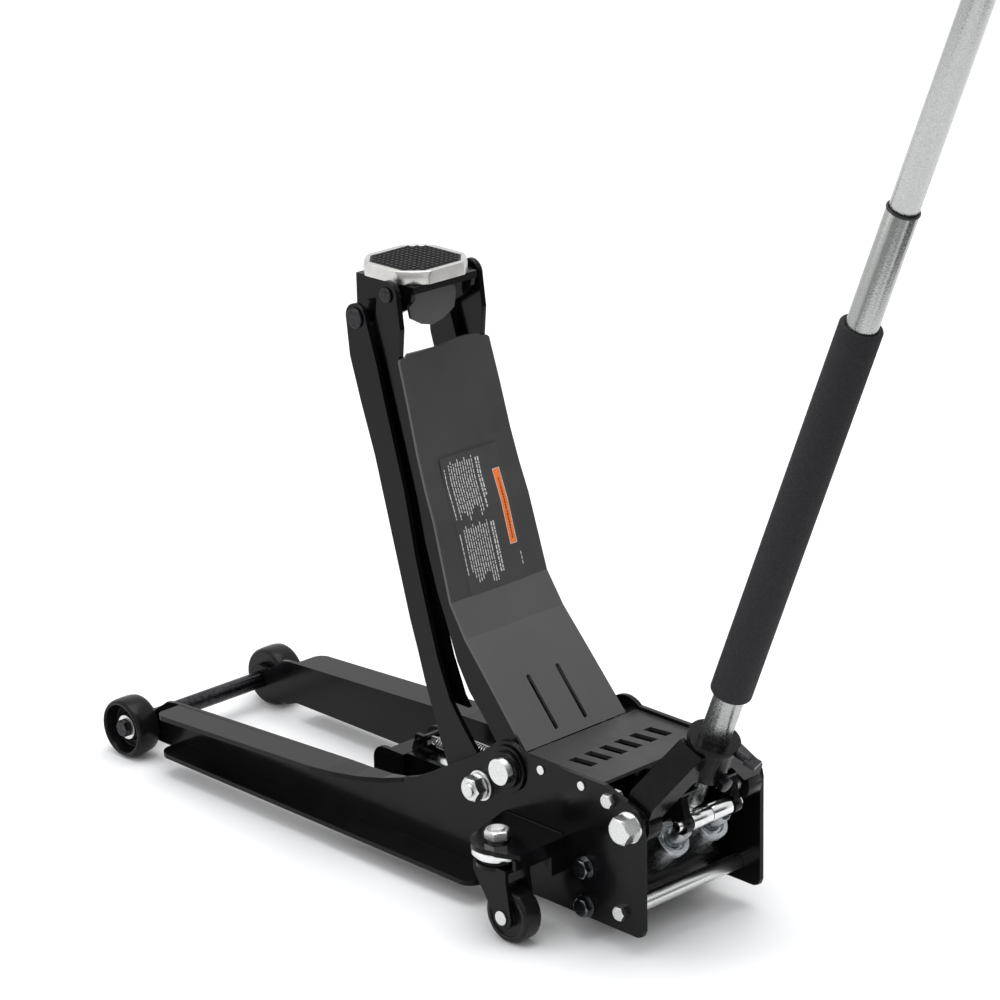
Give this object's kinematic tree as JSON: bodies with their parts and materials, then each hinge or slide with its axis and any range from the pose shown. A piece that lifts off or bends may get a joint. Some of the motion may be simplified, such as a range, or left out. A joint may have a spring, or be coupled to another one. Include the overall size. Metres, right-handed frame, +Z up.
{
  "type": "hydraulic floor jack",
  "caption": "Low hydraulic trolley jack on wheels with a bent lift arm, level saddle, side casters and a long pumping handle in a pivoting socket.",
  "frame": {"origin": "on the floor in the middle plane, directly below the front axle", "axes": "+X from the front axle towards the handle, +Z up, Y across; the near side is -Y"},
  "size_m": [1.2047, 0.314, 1.2667],
  "materials": {
    "black_paint": "gloss",
    "cover_grey": "gloss",
    "zinc": "bright zinc plate",
    "dark_bolt": "black oxide",
    "chrome_steel": "polished",
    "cast_black": "painted casting",
    "saddle_cast": "bright cast",
    "pad_rubber": "matt",
    "tube_silver": "hammered silver",
    "grip_foam": "matt foam",
    "wheel_black": "gloss",
    "caster_plastic": "satin",
    "label_print": "printed film",
    "cap_plastic": "satin",
    "spring_steel": "bright wire"
  },
  "bodies": {
    "frame": {"side_frame_near": "black_paint", "side_frame_far": "black_paint", "front_axle": "dark_bolt", "axle_washers": "zinc", "top_cover": "black_paint", "cover_screws": "zinc", "rear_cross_rod": "zinc", "frame_bolts": "zinc", "caster_bracket_near": "black_paint", "caster_bracket_far": "black_paint", "swivel_bolts": "zinc", "bearing_races": "zinc", "unit_block": "cast_black", "unit_bolts": "dark_bolt", "cylinder": "cast_black", "oil_tank": "black_paint", "pump_barrels": "chrome_steel", "pivot_shaft": "zinc", "pivot_washers": "dark_bolt", "link_bolts": "zinc", "link_nuts": "zinc", "socket_bolts": "zinc", "return_springs": "spring_steel"},
    "arm": {"arm_plate_near": "black_paint", "arm_plate_far": "black_paint", "arm_cover": "cover_grey", "pivot_tube": "black_paint", "crank_plates": "black_paint", "crank_studs": "zinc", "arm_top_pins": "dark_bolt", "arm_label": "label_print"},
    "links": {"link_channel_near": "black_paint", "link_channel_far": "black_paint", "link_top_pins": "dark_bolt"},
    "saddle_carrier": {"saddle_bracket": "black_paint", "saddle_web": "cover_grey"},
    "saddle": {"saddle_ring": "saddle_cast", "saddle_pad": "pad_rubber"},
    "ram_yoke": {"ram": "chrome_steel", "ram_piston": "dark_bolt", "crosshead": "black_paint", "pull_bars": "black_paint"},
    "front_wheel_near": {"front_wheel_near": "wheel_black"},
    "front_wheel_far": {"front_wheel_far": "wheel_black"},
    "caster_near": {"caster_fork_near": "black_paint", "caster_pin_near": "zinc"},
    "caster_far": {"caster_fork_far": "black_paint", "caster_pin_far": "zinc"},
    "caster_wheel_near": {"caster_wheel_near": "caster_plastic"},
    "caster_wheel_far": {"caster_wheel_far": "caster_plastic"},
    "socket": {"handle_socket": "cast_black", "pump_rollers": "chrome_steel", "clamp_screw": "zinc"},
    "handle": {"lower_tube": "tube_silver", "grip": "grip_foam", "joint_ring": "cap_plastic", "upper_tube": "tube_silver", "end_cap": "cap_plastic"},
    "plungers": {"pump_plungers": "chrome_steel"},
    "valve": {"release_valve": "zinc"}
  },
  "joints": [
    {"name": "arm_lift", "type": "hinge", "parent": "frame", "child": "arm", "pos_m": [0.548, 0, 0.14], "axis": [0, 1, 0], "range_deg": [-75, 0]},
    {"name": "link_swing", "type": "hinge", "parent": "frame", "child": "links", "pos_m": [0.511, 0, 0.112], "axis": [0, 1, 0], "range_deg": [-75, 0]},
    {"name": "saddle_level", "type": "hinge", "parent": "arm", "child": "saddle_carrier", "pos_m": [0.369, 0, 0.56], "axis": [0, 1, 0], "range_deg": [0, 75]},
    {"name": "saddle_turn", "type": "hinge", "parent": "saddle_carrier", "child": "saddle", "pos_m": [0.349, 0, 0.568], "axis": [0, 0, 1], "continuous": true},
    {"name": "ram_slide", "type": "slide", "parent": "frame", "child": "ram_yoke", "axis": [1, 0, 0], "range_m": [0, 0.11568], "deforming": ["return_springs"]},
    {"name": "front_wheel_near_spin", "type": "hinge", "parent": "frame", "child": "front_wheel_near", "pos_m": [0, -0.099, 0.0313], "axis": [0, 1, 0], "continuous": true},
    {"name": "front_wheel_far_spin", "type": "hinge", "parent": "frame", "child": "front_wheel_far", "pos_m": [0, 0.099, 0.0313], "axis": [0, 1, 0], "continuous": true},
    {"name": "caster_near_swivel", "type": "hinge", "parent": "frame", "child": "caster_near", "pos_m": [0.584, -0.131, 0.08], "axis": [0, 0, 1], "continuous": true},
    {"name": "caster_far_swivel", "type": "hinge", "parent": "frame", "child": "caster_far", "pos_m": [0.584, 0.131, 0.08], "axis": [0, 0, 1], "continuous": true},
    {"name": "caster_wheel_near_spin", "type": "hinge", "parent": "caster_near", "child": "caster_wheel_near", "pos_m": [0.604, -0.131, 0.027], "axis": [0, 1, 0], "continuous": true},
    {"name": "caster_wheel_far_spin", "type": "hinge", "parent": "caster_far", "child": "caster_wheel_far", "pos_m": [0.604, 0.131, 0.027], "axis": [0, 1, 0], "continuous": true},
    {"name": "handle_pump", "type": "hinge", "parent": "frame", "child": "socket", "pos_m": [0.7074, 0, 0.1296], "axis": [0, 1, 0], "range_deg": [-10, 45]},
    {"name": "handle_twist", "type": "hinge", "parent": "socket", "child": "handle", "pos_m": [0.7074, 0, 0.1296], "axis": [0.3714, 0, 0.9285], "range_deg": [0, 120]},
    {"name": "plunger_press", "type": "slide", "parent": "frame", "child": "plungers", "axis": [0.7071, 0, 0.7071], "range_m": [-0.01631, 0.00364]},
    {"name": "valve_turn", "type": "hinge", "parent": "frame", "child": "valve", "pos_m": [0.7074, 0, 0.1296], "axis": [0.4226, 0, 0.9063], "range_deg": [0, 120]}
  ],
  "couplings": [
    {"joint": "link_swing", "follows": "arm_lift", "ratio": 1},
    {"joint": "saddle_level", "follows": "arm_lift", "ratio": -1},
    {"joint": "ram_slide", "follows": "arm_lift", "m_per_rad": -0.088361},
    {"joint": "plunger_press", "follows": "handle_pump", "m_per_rad": -0.020744},
    {"joint": "valve_turn", "follows": "handle_twist", "ratio": 1}
  ]
}
